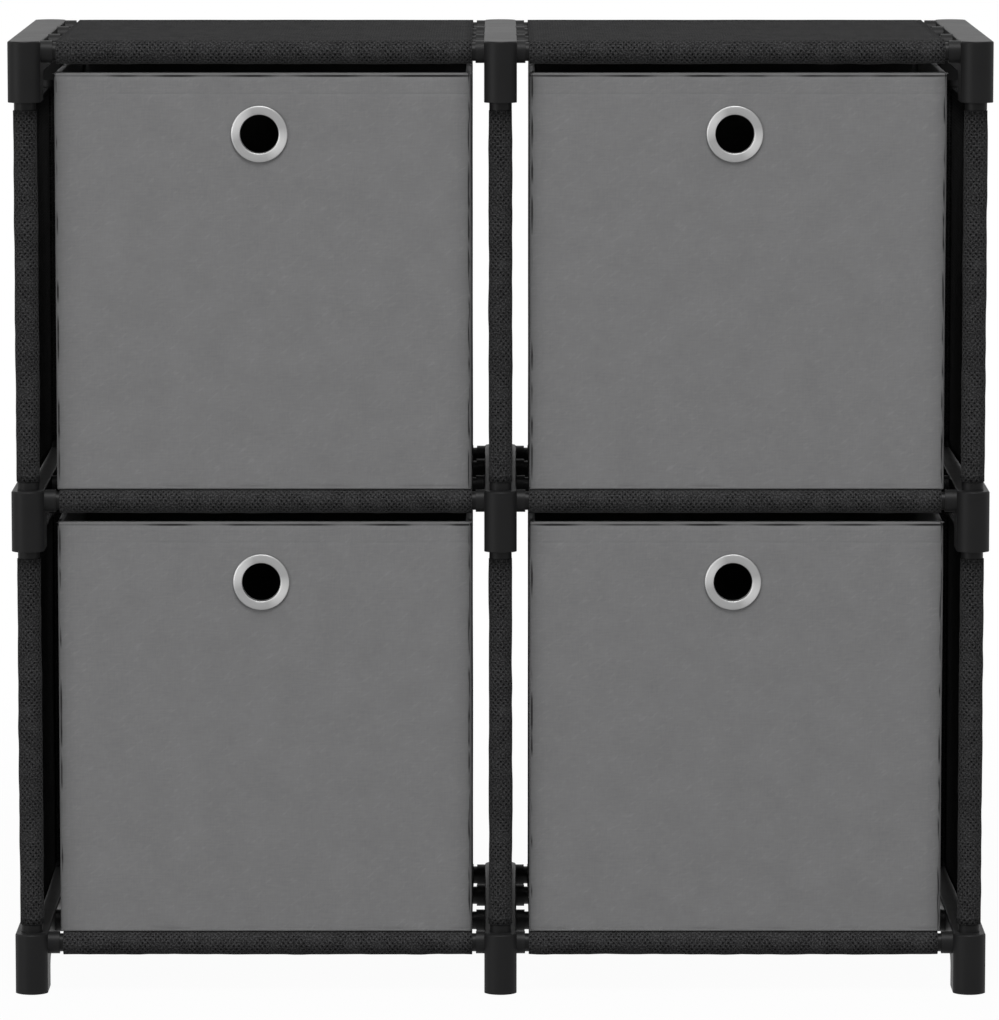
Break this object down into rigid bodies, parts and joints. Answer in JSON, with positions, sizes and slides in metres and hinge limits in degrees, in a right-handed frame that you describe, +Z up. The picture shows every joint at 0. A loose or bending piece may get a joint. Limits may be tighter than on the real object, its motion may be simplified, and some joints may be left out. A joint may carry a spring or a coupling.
{
  "type": "cube storage unit",
  "caption": "Open cube storage unit of black tubes, moulded depth bars and cloth shelves, with grey fabric boxes that pull out by a metal eyelet.",
  "frame": {"origin": "on the floor, at the middle of the unit's width and depth", "axes": "+X along the width to the right, +Y from the front to the back, +Z up"},
  "size_m": [0.69, 0.3, 0.6773],
  "materials": {
    "bar_plastic": "black moulded plastic, satin",
    "tube_steel": "black powder-coated steel tube",
    "frame_cloth": "black point-bonded non-woven cloth",
    "box_fabric": "mid grey non-woven fabric, matte",
    "stiffener_board": "grey-brown board sewn inside the walls",
    "base_board": "board covered in grey non-woven fabric",
    "eyelet_metal": "nickel-plated steel, lightly brushed"
  },
  "bodies": {
    "frame": {"bottom_left_bar": "bar_plastic", "bottom_centre_bar": "bar_plastic", "bottom_right_bar": "bar_plastic", "bottom_rails_1": "tube_steel", "bottom_rails_2": "tube_steel", "bottom_rails_3": "tube_steel", "bottom_rails_4": "tube_steel", "middle_left_bar": "bar_plastic", "middle_centre_bar": "bar_plastic", "middle_right_bar": "bar_plastic", "middle_rails_1": "tube_steel", "middle_rails_2": "tube_steel", "middle_rails_3": "tube_steel", "middle_rails_4": "tube_steel", "top_left_bar": "bar_plastic", "top_centre_bar": "bar_plastic", "top_right_bar": "bar_plastic", "top_rails_1": "tube_steel", "top_rails_2": "tube_steel", "top_rails_3": "tube_steel", "top_rails_4": "tube_steel", "left_front_posts": "tube_steel", "left_back_posts": "tube_steel", "centre_front_posts": "tube_steel", "centre_back_posts": "tube_steel", "right_front_posts": "tube_steel", "right_back_posts": "tube_steel", "bottom_left_shelf": "frame_cloth", "bottom_right_shelf": "frame_cloth", "middle_left_shelf": "frame_cloth", "middle_right_shelf": "frame_cloth", "top_left_shelf": "frame_cloth", "top_right_shelf": "frame_cloth", "lower_left_panel": "frame_cloth", "lower_centre_panel": "frame_cloth", "lower_right_panel": "frame_cloth", "upper_left_panel": "frame_cloth", "upper_centre_panel": "frame_cloth", "upper_right_panel": "frame_cloth"},
    "lower_left_box": {"lower_left_box_cover": "box_fabric", "lower_left_box_boards": "stiffener_board", "lower_left_box_eyelet": "eyelet_metal", "lower_left_box_washer": "eyelet_metal"},
    "lower_left_box_base": {"lower_left_box_base": "base_board"},
    "lower_right_box": {"lower_right_box_cover": "box_fabric", "lower_right_box_boards": "stiffener_board", "lower_right_box_eyelet": "eyelet_metal", "lower_right_box_washer": "eyelet_metal"},
    "lower_right_box_base": {"lower_right_box_base": "base_board"},
    "upper_left_box": {"upper_left_box_cover": "box_fabric", "upper_left_box_boards": "stiffener_board", "upper_left_box_eyelet": "eyelet_metal", "upper_left_box_washer": "eyelet_metal"},
    "upper_left_box_base": {"upper_left_box_base": "base_board"},
    "upper_right_box": {"upper_right_box_cover": "box_fabric", "upper_right_box_boards": "stiffener_board", "upper_right_box_eyelet": "eyelet_metal", "upper_right_box_washer": "eyelet_metal"},
    "upper_right_box_base": {"upper_right_box_base": "base_board"}
  },
  "joints": [
    {"name": "lower_left_box_slide", "type": "slide", "parent": "frame", "child": "lower_left_box", "axis": [0, -1, 0], "range_m": [0, 0.3]},
    {"name": "lower_left_box_base_lift", "type": "slide", "parent": "lower_left_box", "child": "lower_left_box_base", "axis": [0, 0, 1], "range_m": [0, 0.285]},
    {"name": "lower_right_box_slide", "type": "slide", "parent": "frame", "child": "lower_right_box", "axis": [0, -1, 0], "range_m": [0, 0.3]},
    {"name": "lower_right_box_base_lift", "type": "slide", "parent": "lower_right_box", "child": "lower_right_box_base", "axis": [0, 0, 1], "range_m": [0, 0.285]},
    {"name": "upper_left_box_slide", "type": "slide", "parent": "frame", "child": "upper_left_box", "axis": [0, -1, 0], "range_m": [0, 0.3]},
    {"name": "upper_left_box_base_lift", "type": "slide", "parent": "upper_left_box", "child": "upper_left_box_base", "axis": [0, 0, 1], "range_m": [0, 0.285]},
    {"name": "upper_right_box_slide", "type": "slide", "parent": "frame", "child": "upper_right_box", "axis": [0, -1, 0], "range_m": [0, 0.3]},
    {"name": "upper_right_box_base_lift", "type": "slide", "parent": "upper_right_box", "child": "upper_right_box_base", "axis": [0, 0, 1], "range_m": [0, 0.285]}
  ]
}
